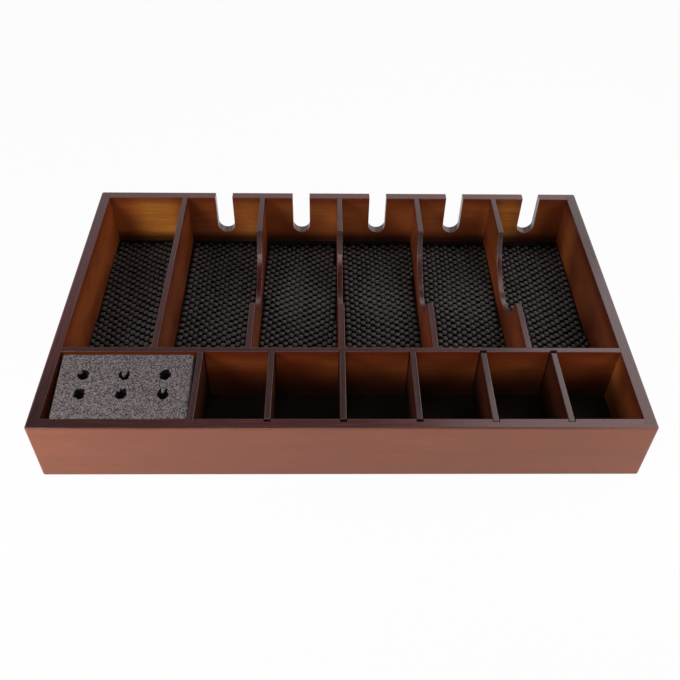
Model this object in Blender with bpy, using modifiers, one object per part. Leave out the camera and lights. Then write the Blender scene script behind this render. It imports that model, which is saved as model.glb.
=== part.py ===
"""Organiser tray for hair clippers: a stained wooden frame with a row of deep clipper bays behind a row of
small guard bays, loose liners on the floor of the deep bays, and a punched foam block for combs and shears.

Metres. X runs from left to right, Y from the front wall to the back wall, Z up from the surface that the
tray stands on. The origin is the middle of the footprint.
"""
import math

import bmesh
import bpy
from mathutils import Matrix, Vector

# Overall size of the frame
TRAY_WIDTH = 0.480
TRAY_DEPTH = 0.303
TRAY_HEIGHT = 0.060

# Boards
WALL_THICKNESS = 0.0095
FLOOR_THICKNESS = 0.005
RAIL_THICKNESS = 0.005
CLIPPER_DIVIDER_THICKNESS = 0.005
GUARD_DIVIDER_THICKNESS = 0.0048
OUTER_EDGE_ROUND = 0.0014
TOP_EDGE_ROUND = 0.0005
ROUND_SEGMENTS = 2

# Layout: the front row is a run of equal cells, of which the foam block takes the first few
FRONT_BAY_DEPTH = 0.0705
CLIPPER_BAYS = 6
FRONT_CELLS = 8
FOAM_CELLS = 2

# Joinery
SEAT_GAP = 0.0003
CORNER_LAP = 0.005
FLOOR_LAP = 0.0045
RAIL_END_HOUSING = 0.003
BACK_WALL_HOUSING = 0.003
RAIL_BACK_HOUSING = 0.001
RAIL_FRONT_HOUSING = 0.002
FRONT_WALL_HOUSING = 0.003
LOOSE_SIDE_CLEARANCE = 0.0004
GUARD_DIVIDER_END_PLAY = 0.0032
GUARD_DIVIDERS_SLID_FORWARD = (False, False, False, True, True)

# Cord slots in the back wall, one behind each clipper bay
SLOT_WIDTH = 0.017
SLOT_DEPTH = 0.0425
SLOT_ARC_STEPS = 16

# Hand scoops in the dividers between the clipper bays
SCOOP_LENGTH = 0.1005
SCOOP_DEPTH = 0.039
SCOOP_ARC_STEPS = 28

# Liners: the gap behind each and its turn, from left to right, as they were cut and laid by hand
LINER_THICKNESS = 0.003
LINER_SIDE_CLEARANCE = 0.0017
LINER_FRONT_CLEARANCE = 0.001
LINER_BACK_GAPS = (0.0035, 0.004, 0.0065, 0.0055, 0.006, 0.007)
LINER_TURNS_DEGREES = (0.4, 0.45, 0.0, -0.3, -0.3, 0.1)
LINER_CORNER_ROUND = 0.002

# Foam block
FOAM_BELOW_RIM = 0.003
FOAM_SIDE_CLEARANCE = 0.0015
FOAM_EDGE_ROUND = 0.0015
PUNCH_DIAMETER = 0.0085
PUNCH_COLUMNS = 3
PUNCH_ROWS = 2
PUNCH_COLUMN_PITCH = 0.0333
PUNCH_ROW_PITCH = 0.0205
PUNCH_GRID_LEFT_OF_MIDDLE = 0.0019
PUNCH_GRID_FRONT_OF_MIDDLE = 0.0008
PUNCH_SIDES = 16

# How far a cutter runs past the face that it enters
CUT_PAST = 0.004

# Faces that meet at less than the first angle are one flat face, and edges over the second stay sharp
FLAT_ANGLE = math.radians(0.5)
SHARP_ANGLE = math.radians(35)

# Planes worked out from the sizes above
HALF_WIDTH = TRAY_WIDTH / 2
HALF_DEPTH = TRAY_DEPTH / 2
INNER_HALF_WIDTH = HALF_WIDTH - WALL_THICKNESS
INNER_FRONT = -HALF_DEPTH + WALL_THICKNESS
INNER_BACK = HALF_DEPTH - WALL_THICKNESS
RAIL_FRONT = INNER_FRONT + FRONT_BAY_DEPTH
RAIL_BACK = RAIL_FRONT + RAIL_THICKNESS
BOARD_BOTTOM = FLOOR_THICKNESS + SEAT_GAP
CLIPPER_BAY_WIDTH = (2 * INNER_HALF_WIDTH - (CLIPPER_BAYS - 1) * CLIPPER_DIVIDER_THICKNESS) / CLIPPER_BAYS
CLIPPER_PITCH = CLIPPER_BAY_WIDTH + CLIPPER_DIVIDER_THICKNESS
CELL_WIDTH = (2 * INNER_HALF_WIDTH - (FRONT_CELLS - 1) * GUARD_DIVIDER_THICKNESS) / FRONT_CELLS
CELL_PITCH = CELL_WIDTH + GUARD_DIVIDER_THICKNESS


def clipper_divider_x(number):
    """Middle of the divider to the right of clipper bay number 1, 2, 3 and so on."""
    return -INNER_HALF_WIDTH + number * CLIPPER_PITCH - CLIPPER_DIVIDER_THICKNESS / 2


def clipper_bay_x(number):
    """Middle of clipper bay number 1, 2, 3 and so on, from the left."""
    return -INNER_HALF_WIDTH + (number - 1) * CLIPPER_PITCH + CLIPPER_BAY_WIDTH / 2


def front_divider_x(cell):
    """Middle of the divider to the right of cell number 1, 2, 3 and so on in the front row."""
    return -INNER_HALF_WIDTH + cell * CELL_PITCH - GUARD_DIVIDER_THICKNESS / 2


FRONT_DIVIDER_PLACES = [front_divider_x(cell) for cell in range(FOAM_CELLS, FRONT_CELLS)]
CLIPPER_DIVIDER_PLACES = [clipper_divider_x(number) for number in range(1, CLIPPER_BAYS)]


# The scene, its collections and its materials

def clear_scene():
    for scene_object in list(bpy.data.objects):
        bpy.data.objects.remove(scene_object, do_unlink=True)


def make_collection(name):
    collection = bpy.data.collections.new(name)
    bpy.context.scene.collection.children.link(collection)
    return collection


def make_material(name, colour, roughness):
    material = bpy.data.materials.new(name)
    material.use_nodes = True
    shader = material.node_tree.nodes["Principled BSDF"]
    shader.inputs["Base Color"].default_value = (*colour, 1.0)
    shader.inputs["Roughness"].default_value = roughness
    material.diffuse_color = (*colour, 1.0)
    return material


clear_scene()
TRAY = make_collection("shaver_holder_tray")
CUTTERS = make_collection("cutters")
FRAME_WOOD = make_material("stained_frame_wood", (0.20, 0.085, 0.045), 0.34)
DIVIDER_WOOD = make_material("stained_divider_wood", (0.16, 0.062, 0.028), 0.38)
FLOOR_PLY = make_material("stained_floor_ply", (0.10, 0.040, 0.020), 0.45)
LINER_VINYL = make_material("black_liner_vinyl", (0.012, 0.012, 0.012), 0.55)
GREY_FOAM = make_material("grey_foam", (0.16, 0.14, 0.135), 0.95)


# Building blocks

def add_object(name, data, collection, material=None):
    new_object = bpy.data.objects.new(name, data)
    collection.objects.link(new_object)
    if material is not None:
        data.materials.append(material)
    return new_object


def box_mesh(name, boxes, origin=(0.0, 0.0, 0.0)):
    """One mesh of separate boxes, each given by its low and high corner, about the origin."""
    bm = bmesh.new()
    for low, high in boxes:
        low, high = Vector(low), Vector(high)
        cube = bmesh.ops.create_cube(bm, size=1.0)
        bmesh.ops.scale(bm, vec=high - low, verts=cube["verts"])
        bmesh.ops.translate(bm, vec=(low + high) / 2 - Vector(origin), verts=cube["verts"])
    mesh = bpy.data.meshes.new(name)
    bm.to_mesh(mesh)
    bm.free()
    return mesh


def evaluated(source):
    """The object as its modifiers or its curve settings make it."""
    bpy.context.view_layer.update()
    return source.evaluated_get(bpy.context.evaluated_depsgraph_get())


def same(first, second):
    return abs(first - second) < 1e-6


def edge_round(start, end, thickness_axis, broad_faces):
    """Radius of one edge of an upright board, from where the edge lies in the tray: the tray's outer corners
    have the large radius, the other edges of the broad faces the small one, and hidden edges none."""
    outer_planes = 0
    for axis, planes in enumerate(((-HALF_WIDTH, HALF_WIDTH), (-HALF_DEPTH, HALF_DEPTH), (0.0, TRAY_HEIGHT))):
        if any(same(start[axis], plane) and same(end[axis], plane) for plane in planes):
            outer_planes += 1
    if outer_planes == 2:
        return OUTER_EDGE_ROUND
    on_broad_face = any(same(start[thickness_axis], face) and same(end[thickness_axis], face)
                        for face in broad_faces)
    if on_broad_face and min(start.z, end.z) > BOARD_BOTTOM + SEAT_GAP:
        return TOP_EDGE_ROUND
    return 0.0


def finish_board(upright, thickness_axis):
    """Makes an upright board's cuts final, and weighs its edges for a Bevel modifier that rounds them."""
    mesh = bpy.data.meshes.new_from_object(evaluated(upright))
    for modifier in list(upright.modifiers):
        bpy.data.objects.remove(modifier.object, do_unlink=True)
    upright.modifiers.clear()
    mesh.name = upright.name
    bm = bmesh.new()
    bm.from_mesh(mesh)
    bmesh.ops.dissolve_limit(bm, angle_limit=FLAT_ANGLE, verts=bm.verts, edges=bm.edges)
    weight = bm.edges.layers.float.new("bevel_weight_edge")
    across = [vertex.co[thickness_axis] + upright.location[thickness_axis] for vertex in bm.verts]
    broad_faces = (min(across), max(across))
    for edge in bm.edges:
        start, end = (vertex.co + upright.location for vertex in edge.verts)
        edge[weight] = edge_round(start, end, thickness_axis, broad_faces) / OUTER_EDGE_ROUND
    bm.to_mesh(mesh)
    bm.free()
    mesh.shade_smooth()
    mesh.set_sharp_from_angle(angle=SHARP_ANGLE)
    upright.data = mesh
    bevel = upright.modifiers.new("rounded_edges", "BEVEL")
    bevel.limit_method = "WEIGHT"
    bevel.width = OUTER_EDGE_ROUND
    bevel.segments = ROUND_SEGMENTS
    bevel.harden_normals = True


def board(name, low, high, material):
    """A straight upright board between two corners."""
    origin = (Vector(low) + Vector(high)) / 2
    new_board = add_object(name, box_mesh(name, [(low, high)], origin), TRAY, material)
    new_board.location = origin
    return new_board


# Quarter turns that stand a flat drawing up, to be seen from the front or from the right
FACING_FRONT = Matrix(((1, 0, 0, 0), (0, 0, -1, 0), (0, 1, 0, 0), (0, 0, 0, 1)))
FACING_SIDE = Matrix(((0, 0, 1, 0), (1, 0, 0, 0), (0, 1, 0, 0), (0, 0, 0, 1)))


def sawn_board(name, outline, thickness, location, turn, material):
    """An upright board sawn to an outline. The outline is filled and given its thickness as a flat curve,
    which is made a mesh and turned upright, so that its edges can be rounded and grooves cut into it."""
    curve = bpy.data.curves.new(name + "_outline", "CURVE")
    curve.dimensions = "2D"
    curve.fill_mode = "BOTH"
    curve.extrude = thickness / 2
    spline = curve.splines.new("POLY")
    spline.points.add(len(outline) - 1)
    for point, (across, up) in zip(spline.points, outline):
        point.co = (across, up, 0.0, 1.0)
    spline.use_cyclic_u = True
    drawn = add_object(name + "_outline", curve, TRAY)
    mesh = bpy.data.meshes.new_from_object(evaluated(drawn))
    mesh.name = name
    bpy.data.objects.remove(drawn, do_unlink=True)
    bm = bmesh.new()
    bm.from_mesh(mesh)
    bmesh.ops.remove_doubles(bm, verts=bm.verts, dist=1e-6)
    bmesh.ops.transform(bm, matrix=turn, verts=bm.verts)
    bmesh.ops.recalc_face_normals(bm, faces=bm.faces)
    bm.to_mesh(mesh)
    bm.free()
    new_board = add_object(name, mesh, TRAY, material)
    new_board.location = location
    return new_board


def arc(middle, radius, start_degrees, end_degrees, steps):
    """Points along an arc, from the start angle to the end angle."""
    points = []
    for step in range(steps + 1):
        angle = math.radians(start_degrees + (end_degrees - start_degrees) * step / steps)
        points.append((middle[0] + radius * math.cos(angle), middle[1] + radius * math.sin(angle)))
    return points


def cut(target, cutter):
    cutter.hide_render = True
    cutter.display_type = "WIRE"
    boolean = target.modifiers.new(cutter.name, "BOOLEAN")
    boolean.operation = "DIFFERENCE"
    boolean.solver = "EXACT"
    boolean.object = cutter


def cut_boxes(target, name, boxes):
    """Cuts boxes, given in tray coordinates, out of a board with one Boolean modifier."""
    cut(target, add_object(name, box_mesh(name, boxes), CUTTERS))


# Outer frame. The side walls' ends are let into the front and back walls, and a rebate along the bottom
# inside edge of all four walls takes the floor panel.

def floor_rebate():
    reach_x = INNER_HALF_WIDTH + FLOOR_LAP
    low = (-reach_x, INNER_FRONT - FLOOR_LAP, -CUT_PAST)
    high = (reach_x, INNER_BACK + FLOOR_LAP, BOARD_BOTTOM)
    return [(low, high)]


def corner_rebates(inner_face, lap_face):
    """The space that the side walls' ends take from a front or back wall, past the wall's inner face."""
    low_y, high_y = sorted((2 * inner_face - lap_face, lap_face))
    rebates = []
    for side in (-1, 1):
        low_x, high_x = sorted((side * (INNER_HALF_WIDTH - SEAT_GAP), side * (HALF_WIDTH + CUT_PAST)))
        rebates.append(((low_x, low_y, -CUT_PAST), (high_x, high_y, TRAY_HEIGHT + CUT_PAST)))
    return rebates


def housings(places, width, low_y, high_y):
    """Open-topped upright grooves, one at each place along X, that stop at the floor panel."""
    return [((place - width / 2, low_y, BOARD_BOTTOM), (place + width / 2, high_y, TRAY_HEIGHT + CUT_PAST))
            for place in places]


FRONT_LAP_FACE = INNER_FRONT - CORNER_LAP
BACK_LAP_FACE = INNER_BACK + CORNER_LAP
LOOSE_HOUSING_WIDTH = GUARD_DIVIDER_THICKNESS + 2 * LOOSE_SIDE_CLEARANCE
FIXED_HOUSING_WIDTH = CLIPPER_DIVIDER_THICKNESS + 2 * SEAT_GAP
FRONT_HOUSING_BOTTOM = INNER_FRONT - FRONT_WALL_HOUSING
RAIL_HOUSING_BOTTOM = RAIL_FRONT + RAIL_FRONT_HOUSING


def make_front_wall():
    low = (-HALF_WIDTH, -HALF_DEPTH, 0.0)
    high = (HALF_WIDTH, INNER_FRONT, TRAY_HEIGHT)
    wall = board("front_wall", low, high, FRAME_WOOD)
    grooves = housings(FRONT_DIVIDER_PLACES, LOOSE_HOUSING_WIDTH, FRONT_HOUSING_BOTTOM, INNER_FRONT + CUT_PAST)
    cut_boxes(wall, "front_wall_housings", grooves)
    cut_boxes(wall, "front_floor_rebate", floor_rebate())
    cut_boxes(wall, "front_corner_rebates", corner_rebates(INNER_FRONT, FRONT_LAP_FACE))
    finish_board(wall, 1)


def back_wall_outline():
    """The wall seen from the front, with a round-bottomed cord slot behind every bay but the first."""
    radius = SLOT_WIDTH / 2
    arc_height = TRAY_HEIGHT - SLOT_DEPTH + radius
    outline = [(-HALF_WIDTH, TRAY_HEIGHT), (-HALF_WIDTH, 0.0), (HALF_WIDTH, 0.0), (HALF_WIDTH, TRAY_HEIGHT)]
    for number in range(CLIPPER_BAYS, 1, -1):
        middle = clipper_bay_x(number)
        outline.append((middle + radius, TRAY_HEIGHT))
        outline += arc((middle, arc_height), radius, 0, -180, SLOT_ARC_STEPS)
        outline.append((middle - radius, TRAY_HEIGHT))
    return outline


def make_back_wall():
    location = Vector((0.0, HALF_DEPTH - WALL_THICKNESS / 2, 0.0))
    wall = sawn_board("back_wall", back_wall_outline(), WALL_THICKNESS, location, FACING_FRONT, FRAME_WOOD)
    grooves = housings(CLIPPER_DIVIDER_PLACES, FIXED_HOUSING_WIDTH, INNER_BACK - CUT_PAST,
                       INNER_BACK + BACK_WALL_HOUSING)
    cut_boxes(wall, "back_wall_housings", grooves)
    cut_boxes(wall, "back_floor_rebate", floor_rebate())
    cut_boxes(wall, "back_corner_rebates", corner_rebates(INNER_BACK, BACK_LAP_FACE))
    finish_board(wall, 1)


def make_side_wall(name, side):
    low_x, high_x = sorted((side * HALF_WIDTH, side * INNER_HALF_WIDTH))
    low = (low_x, FRONT_LAP_FACE + SEAT_GAP, 0.0)
    high = (high_x, BACK_LAP_FACE - SEAT_GAP, TRAY_HEIGHT)
    wall = board(name, low, high, FRAME_WOOD)
    cut_boxes(wall, name + "_floor_rebate", floor_rebate())
    groove_x = sorted((side * (INNER_HALF_WIDTH + RAIL_END_HOUSING), side * (INNER_HALF_WIDTH - CUT_PAST)))
    groove = ((groove_x[0], RAIL_FRONT - SEAT_GAP, BOARD_BOTTOM),
              (groove_x[1], RAIL_BACK + SEAT_GAP, TRAY_HEIGHT + CUT_PAST))
    cut_boxes(wall, name + "_rail_housing", [groove])
    finish_board(wall, 0)


def make_bottom_panel():
    reach = FLOOR_LAP - SEAT_GAP
    low = Vector((-INNER_HALF_WIDTH - reach, INNER_FRONT - reach, 0.0))
    high = Vector((INNER_HALF_WIDTH + reach, INNER_BACK + reach, FLOOR_THICKNESS))
    origin = (low + high) / 2
    panel = add_object("bottom_panel", box_mesh("bottom_panel", [(low, high)], origin), TRAY, FLOOR_PLY)
    panel.location = origin


# Inner boards. The rail divides the front row from the clipper bays, and carries the ends of both rows of
# dividers in upright housings.

def make_middle_rail():
    reach_x = INNER_HALF_WIDTH + RAIL_END_HOUSING - SEAT_GAP
    rail = board("middle_rail", (-reach_x, RAIL_FRONT, BOARD_BOTTOM), (reach_x, RAIL_BACK, TRAY_HEIGHT),
                 DIVIDER_WOOD)
    front_grooves = housings(FRONT_DIVIDER_PLACES, LOOSE_HOUSING_WIDTH, RAIL_FRONT - CUT_PAST,
                             RAIL_HOUSING_BOTTOM)
    cut_boxes(rail, "rail_front_housings", front_grooves)
    back_grooves = housings(CLIPPER_DIVIDER_PLACES, FIXED_HOUSING_WIDTH, RAIL_BACK - RAIL_BACK_HOUSING,
                            RAIL_BACK + CUT_PAST)
    cut_boxes(rail, "rail_back_housings", back_grooves)
    finish_board(rail, 1)


FIXED_DIVIDER_FRONT = RAIL_BACK - RAIL_BACK_HOUSING + SEAT_GAP
FIXED_DIVIDER_BACK = INNER_BACK + BACK_WALL_HOUSING - SEAT_GAP


def make_comb_bay_divider():
    """The first divider of the deep row has a straight top, because combs lie beside it and not clippers."""
    place = clipper_divider_x(1)
    half = CLIPPER_DIVIDER_THICKNESS / 2
    divider = board("comb_bay_divider", (place - half, FIXED_DIVIDER_FRONT, BOARD_BOTTOM),
                    (place + half, FIXED_DIVIDER_BACK, TRAY_HEIGHT), DIVIDER_WOOD)
    finish_board(divider, 0)


def scooped_outline():
    """A divider seen from its right side, about the scoop's middle on the tray's base: the scoop is an arc
    through its two ends at the rim and its lowest point."""
    middle = (RAIL_BACK + INNER_BACK) / 2
    half_chord = SCOOP_LENGTH / 2
    radius = (half_chord ** 2 + SCOOP_DEPTH ** 2) / (2 * SCOOP_DEPTH)
    arc_height = TRAY_HEIGHT - SCOOP_DEPTH + radius
    half_angle = math.degrees(math.atan2(half_chord, arc_height - TRAY_HEIGHT))
    outline = [(FIXED_DIVIDER_FRONT - middle, TRAY_HEIGHT), (FIXED_DIVIDER_FRONT - middle, BOARD_BOTTOM),
               (FIXED_DIVIDER_BACK - middle, BOARD_BOTTOM), (FIXED_DIVIDER_BACK - middle, TRAY_HEIGHT)]
    return outline + arc((0.0, arc_height), radius, half_angle - 90, -half_angle - 90, SCOOP_ARC_STEPS)


def make_clipper_dividers():
    middle = (RAIL_BACK + INNER_BACK) / 2
    for number in range(2, CLIPPER_BAYS):
        location = Vector((clipper_divider_x(number), middle, 0.0))
        divider = sawn_board(f"clipper_divider_{number - 1}", scooped_outline(), CLIPPER_DIVIDER_THICKNESS,
                             location, FACING_SIDE, DIVIDER_WOOD)
        finish_board(divider, 0)


def make_front_dividers():
    """The foam bay's divider fills its housings from end to end. The guard dividers are shorter, so each
    stands against one end of its housings and leaves a gap at the other."""
    front_end = FRONT_HOUSING_BOTTOM + SEAT_GAP
    back_end = RAIL_HOUSING_BOTTOM - SEAT_GAP
    free_play = GUARD_DIVIDER_END_PLAY - 2 * SEAT_GAP
    half = GUARD_DIVIDER_THICKNESS / 2
    for number, place in enumerate(FRONT_DIVIDER_PLACES):
        name, low_y, high_y = "foam_bay_divider", front_end, back_end
        if number > 0:
            name = f"guard_divider_{number}"
            if GUARD_DIVIDERS_SLID_FORWARD[(number - 1) % len(GUARD_DIVIDERS_SLID_FORWARD)]:
                high_y = back_end - free_play
            else:
                low_y = front_end + free_play
        divider = board(name, (place - half, low_y, BOARD_BOTTOM), (place + half, high_y, TRAY_HEIGHT),
                        DIVIDER_WOOD)
        finish_board(divider, 0)


# Soft parts

def liner_outline(width, length):
    """A rectangle with rounded corners, about its middle."""
    outline = []
    corners = ((1, 1, 0), (-1, 1, 90), (-1, -1, 180), (1, -1, 270))
    for side_x, side_y, start in corners:
        middle = (side_x * (width / 2 - LINER_CORNER_ROUND), side_y * (length / 2 - LINER_CORNER_ROUND))
        outline += arc(middle, LINER_CORNER_ROUND, start, start + 90, 4)
    return outline


def make_liners():
    """Cut sheets of nubbed vinyl, loose on the floor of the clipper bays, none of them quite square."""
    width = CLIPPER_BAY_WIDTH - 2 * LINER_SIDE_CLEARANCE
    front = RAIL_BACK + LINER_FRONT_CLEARANCE
    for number in range(1, CLIPPER_BAYS + 1):
        name = "comb_bay_liner" if number == 1 else f"clipper_liner_{number - 1}"
        back = INNER_BACK - LINER_BACK_GAPS[(number - 1) % len(LINER_BACK_GAPS)]
        curve = bpy.data.curves.new(name, "CURVE")
        curve.dimensions = "2D"
        curve.fill_mode = "BOTH"
        curve.extrude = LINER_THICKNESS / 2
        outline = liner_outline(width, back - front)
        spline = curve.splines.new("POLY")
        spline.points.add(len(outline) - 1)
        for point, (across, along) in zip(spline.points, outline):
            point.co = (across, along, 0.0, 1.0)
        spline.use_cyclic_u = True
        liner = add_object(name, curve, TRAY, LINER_VINYL)
        height = FLOOR_THICKNESS + SEAT_GAP + LINER_THICKNESS / 2
        liner.location = (clipper_bay_x(number), (front + back) / 2, height)
        turn = LINER_TURNS_DEGREES[(number - 1) % len(LINER_TURNS_DEGREES)]
        liner.rotation_euler = (0.0, 0.0, math.radians(turn))


def make_foam_block():
    """A block that fills the foam bay to just below the rim, with a grid of holes punched right through."""
    bay_right = FRONT_DIVIDER_PLACES[0] - GUARD_DIVIDER_THICKNESS / 2
    low = Vector((-INNER_HALF_WIDTH + FOAM_SIDE_CLEARANCE, INNER_FRONT + FOAM_SIDE_CLEARANCE, BOARD_BOTTOM))
    high = Vector((bay_right - FOAM_SIDE_CLEARANCE, RAIL_FRONT - FOAM_SIDE_CLEARANCE,
                   TRAY_HEIGHT - FOAM_BELOW_RIM))
    origin = (low + high) / 2
    block = add_object("foam_block", box_mesh("foam_block", [(low, high)], origin), TRAY, GREY_FOAM)
    block.location = origin
    bevel = block.modifiers.new("rounded_edges", "BEVEL")
    bevel.width = FOAM_EDGE_ROUND
    bevel.segments = ROUND_SEGMENTS
    grid_x = origin.x - PUNCH_GRID_LEFT_OF_MIDDLE
    grid_y = origin.y - PUNCH_GRID_FRONT_OF_MIDDLE
    bm = bmesh.new()
    for column in range(PUNCH_COLUMNS):
        for row in range(PUNCH_ROWS):
            hole_x = grid_x + (column - (PUNCH_COLUMNS - 1) / 2) * PUNCH_COLUMN_PITCH
            hole_y = grid_y + (row - (PUNCH_ROWS - 1) / 2) * PUNCH_ROW_PITCH
            punch = bmesh.ops.create_cone(bm, cap_ends=True, segments=PUNCH_SIDES, radius1=PUNCH_DIAMETER / 2,
                                          radius2=PUNCH_DIAMETER / 2, depth=high.z - low.z + 2 * CUT_PAST)
            bmesh.ops.translate(bm, vec=(hole_x, hole_y, origin.z), verts=punch["verts"])
    punches = bpy.data.meshes.new("foam_punches")
    bm.to_mesh(punches)
    bm.free()
    cut(block, add_object("foam_punches", punches, CUTTERS))


make_front_wall()
make_back_wall()
make_side_wall("left_wall", -1)
make_side_wall("right_wall", 1)
make_bottom_panel()
make_middle_rail()
make_comb_bay_divider()
make_clipper_dividers()
make_front_dividers()
make_liners()
make_foam_block()
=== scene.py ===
"""Barber's tray of stained wood, dressed over its CAD frame: four walls, a rail and its dividers, woven
liners on the floor of the deep bays, and a punched foam block, on a white table under soft light.

Metres. X to the right, Y to the back, Z up, from the middle of the footprint.
"""
import math
from functools import partial

import bmesh
import bpy
import numpy as np
from mathutils import Matrix


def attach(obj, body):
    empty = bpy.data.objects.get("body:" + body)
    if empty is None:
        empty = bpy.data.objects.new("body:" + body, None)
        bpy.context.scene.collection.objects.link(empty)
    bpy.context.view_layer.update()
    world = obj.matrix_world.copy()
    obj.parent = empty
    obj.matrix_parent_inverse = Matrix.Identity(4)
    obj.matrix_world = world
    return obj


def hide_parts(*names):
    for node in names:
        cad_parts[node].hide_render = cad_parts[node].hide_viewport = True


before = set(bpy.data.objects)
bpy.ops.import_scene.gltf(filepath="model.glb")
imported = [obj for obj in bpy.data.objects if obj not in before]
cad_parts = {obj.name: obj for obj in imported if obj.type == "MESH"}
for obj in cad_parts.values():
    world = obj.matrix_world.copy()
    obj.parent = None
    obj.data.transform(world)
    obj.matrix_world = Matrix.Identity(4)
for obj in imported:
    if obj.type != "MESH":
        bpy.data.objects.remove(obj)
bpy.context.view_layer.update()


# Front wall: a 9.5 mm board of straight-grained wood, stained amber and lacquered, with a dark toner
# sprayed over its rim. Upright housings in its inner face take the ends of the front row's dividers, the
# side walls' ends lap into it, and a rebate along its foot takes the floor panel.

half_width, half_depth, height = 0.24, 0.1515, 0.06
inner_side, inner_front, inner_back = 0.2305, -0.142, 0.142  # where the walls' inner faces lie
lap = 0.005  # how far a side wall's ends lie in the front and back walls
board_foot = 0.0053  # the foot of the boards that stand over the floor panel
shade_hold = 0.00015  # a strip beside each rounded edge that keeps the face beyond it flat in shade
ring_count = 7


def rounded(radius):
    """Edge profile: how far each ring is drawn in, and how far it lies from the end. At an angle a the two
    are radius (1 - cos a) and radius (1 - sin a), with one more ring on the face and one on the side so
    that both stay flat in shade."""
    angle = np.radians(np.linspace(90, 0, ring_count - 2))
    drawn_in = np.r_[radius + shade_hold, radius * (1 - np.cos(angle)), 0]
    from_end = np.r_[0, radius * (1 - np.sin(angle)), radius + shade_hold]
    return np.stack((drawn_in, from_end), 1)


def rebated(width, depth):
    """Edge profile of a square step, as wide as the first value and as deep as the second."""
    drawn_in = np.array((width + shade_hold, width, width, width, width / 2, 0, 0))
    from_end = np.array((0, 0, depth / 2, depth, depth, depth, depth + shade_hold))
    return np.stack((drawn_in, from_end), 1)


def soften_corners(corners, steps=6):
    """Rounds an outline's corners, each (u, v, radius). The arc starts where it touches the side that
    arrives, and is start + radius (sin a - sin a0, cos a0 - cos a) as the heading a turns from that side's
    to the next one's, with one more point before and after it to hold the sides flat. A corner of no radius
    stays one point. Gives the points, and for each the number of the side that leaves it."""
    corners = np.asarray(corners, float)
    place, radius = corners[:, :2], corners[:, 2:]
    leaving = np.roll(place, -1, 0) - place
    leaving /= np.linalg.norm(leaving, axis=1, keepdims=True)
    arriving = np.roll(leaving, 1, 0)
    turn = np.arctan2(arriving[:, :1] * leaving[:, 1:] - arriving[:, 1:] * leaving[:, :1],
                      np.sum(arriving * leaving, 1, keepdims=True))
    heading = np.arctan2(arriving[:, 1:], arriving[:, :1])
    start = place - arriving * radius * np.abs(np.tan(turn / 2))
    angle = heading + turn * np.linspace(0, 1, steps + 1)
    bend = radius * np.sign(turn)
    arc = np.stack((start[:, :1] + bend * (np.sin(angle) - np.sin(heading)),
                    start[:, 1:] + bend * (np.cos(heading) - np.cos(angle))), 2)
    grid = np.concatenate(((start - arriving * shade_hold)[:, None], arc,
                           (arc[:, -1] + leaving * shade_hold)[:, None]), 1)
    kept = np.repeat(radius > 0, steps + 3, 1)
    kept[:, 1] = True
    side = np.arange(len(corners))[:, None] - (radius > 0) * (np.arange(steps + 3) <= steps // 2)
    return grid[kept], (side % len(corners))[kept]


def sawn(corners, sides, low, high, low_stain, high_stain):
    """A board sawn to an outline in (u, v), from w = low to w = high. Each side of the outline has an edge
    profile at each end and a stain (rim, inside, narrow bay). A ring of the board is the outline with every
    side moved inwards by its profile: each corner moves to where its two moved sides cross, and a point of
    an arc straight inwards. Gives the rings' points and the stain at each, which passes from the side's to
    the end's round the edge."""
    least_turn = 0.1
    outline, side = soften_corners(corners)
    leaving = np.roll(outline, -1, 0) - outline
    leaving /= np.linalg.norm(leaving, axis=1, keepdims=True)
    inward = np.stack((-leaving[:, 1], leaving[:, 0]), 1)
    inward_before = np.roll(inward, 1, 0)
    alike = np.sum(inward * inward_before, 1, keepdims=True)
    both = (inward_before + inward) / (1 + alike) / 2
    turn = 1 - alike
    apart = np.where(turn > least_turn, (inward_before - inward) / np.maximum(turn, least_turn) / 2, 0)
    side_stain = np.array([entry[2] for entry in sides], float)[side]
    side_stain = np.maximum(side_stain, np.roll(side_stain, 1, 0))
    onto_face = np.r_[1, np.sin(np.radians(np.linspace(90, 0, ring_count - 2))), 0][:, None, None]
    rings, stains = [], []
    for end, (face, direction, face_stain) in enumerate(((low, 1, low_stain), (high, -1, high_stain))):
        own = np.array([entry[end] for entry in sides])[side]
        before = np.roll(own, 1, 0)
        plan = (outline[:, None] + before[..., :1] * (both + apart)[:, None]
                + own[..., :1] * (both - apart)[:, None])
        level = face + direction * np.maximum(before[..., 1:], own[..., 1:])
        ring = np.concatenate((plan, level), 2).transpose(1, 0, 2)
        stain = side_stain + (np.array(face_stain) - side_stain) * onto_face
        rings.append(ring[::direction])
        stains.append(stain[::direction])
    return np.concatenate(rings), np.concatenate(stains)


drawn_flat = np.array(((1, 0, 0), (0, 1, 0), (0, 0, 1)))
drawn_from_front = np.array(((1, 0, 0), (0, 0, -1), (0, 1, 0)))
drawn_from_side = np.array(((0, 0, 1), (1, 0, 0), (0, 1, 0)))
grain_left_to_right, grain_front_to_back = (0, 2, 1), (1, 2, 0)


def ring_quads(levels, around, first=0):
    """The numbers of points that lie in rings, ring by ring, and the quads between neighbouring rings."""
    number = np.arange(levels * around).reshape(levels, around) + first
    after = np.roll(number, -1, 1)
    return number, np.stack((number[:-1], after[:-1], after[1:], number[1:]), 2).reshape(-1, 4)


def new_object(name, data):
    """A mesh, a lamp or a camera as an object of the scene."""
    thing = bpy.data.objects.new(name, data)
    bpy.context.scene.collection.objects.link(thing)
    return thing


def add_piece(node, mesh, body):
    """The object of a finished mesh. It rides a body and replaces the solid of its node."""
    piece = new_object(node + "_dressed", mesh)
    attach(piece, body)
    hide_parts(node)
    return piece


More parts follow.
